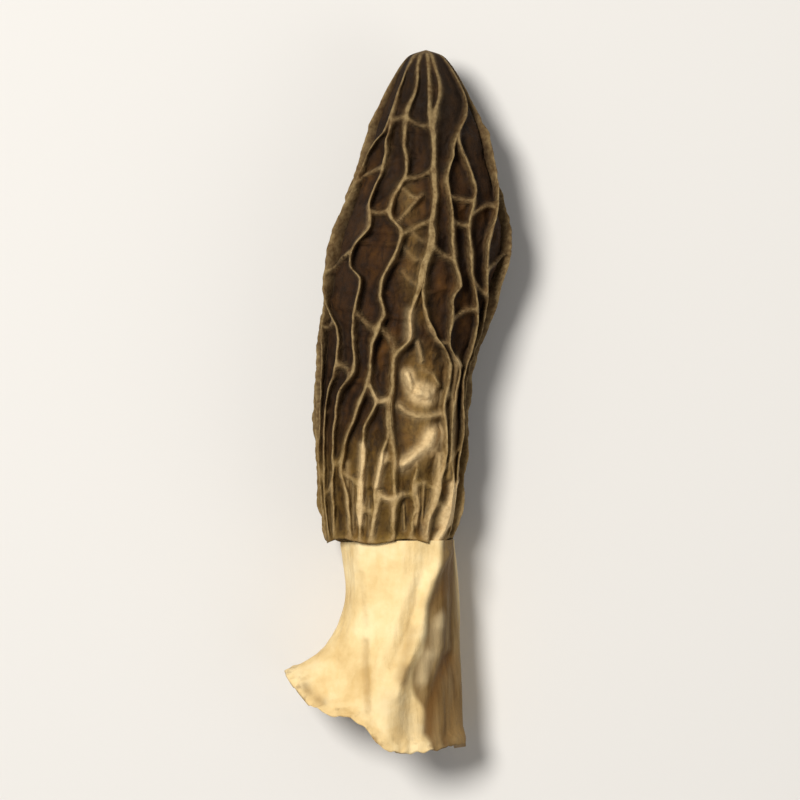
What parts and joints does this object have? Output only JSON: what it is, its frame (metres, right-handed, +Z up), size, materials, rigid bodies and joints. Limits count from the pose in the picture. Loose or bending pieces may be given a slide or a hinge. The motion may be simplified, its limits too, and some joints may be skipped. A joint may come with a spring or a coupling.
{
  "type": "dried morel mushroom",
  "caption": "Slim dried morel lying on its side: a long ribbed and pitted brown cap on a short hollow cream stem, cut at a slant.",
  "frame": {"origin": "middle of the underside of the whole mushroom's box, on the surface that it lies on", "axes": "+Y from the cut stem to the tip of the cap, +Z up, +X to the right when seen from above with the tip upwards"},
  "size_m": [0.0222, 0.0692, 0.0161],
  "materials": {
    "cap_skin": "dry matt fungus skin: pale tan rib crests, brown sides, near black pits",
    "stem_skin": "dry matt cream skin with fine lengthwise fibres and brown dirt at the cut edge"
  },
  "bodies": {
    "root": {"cap": "cap_skin", "stem": "stem_skin"}
  },
  "joints": []
}
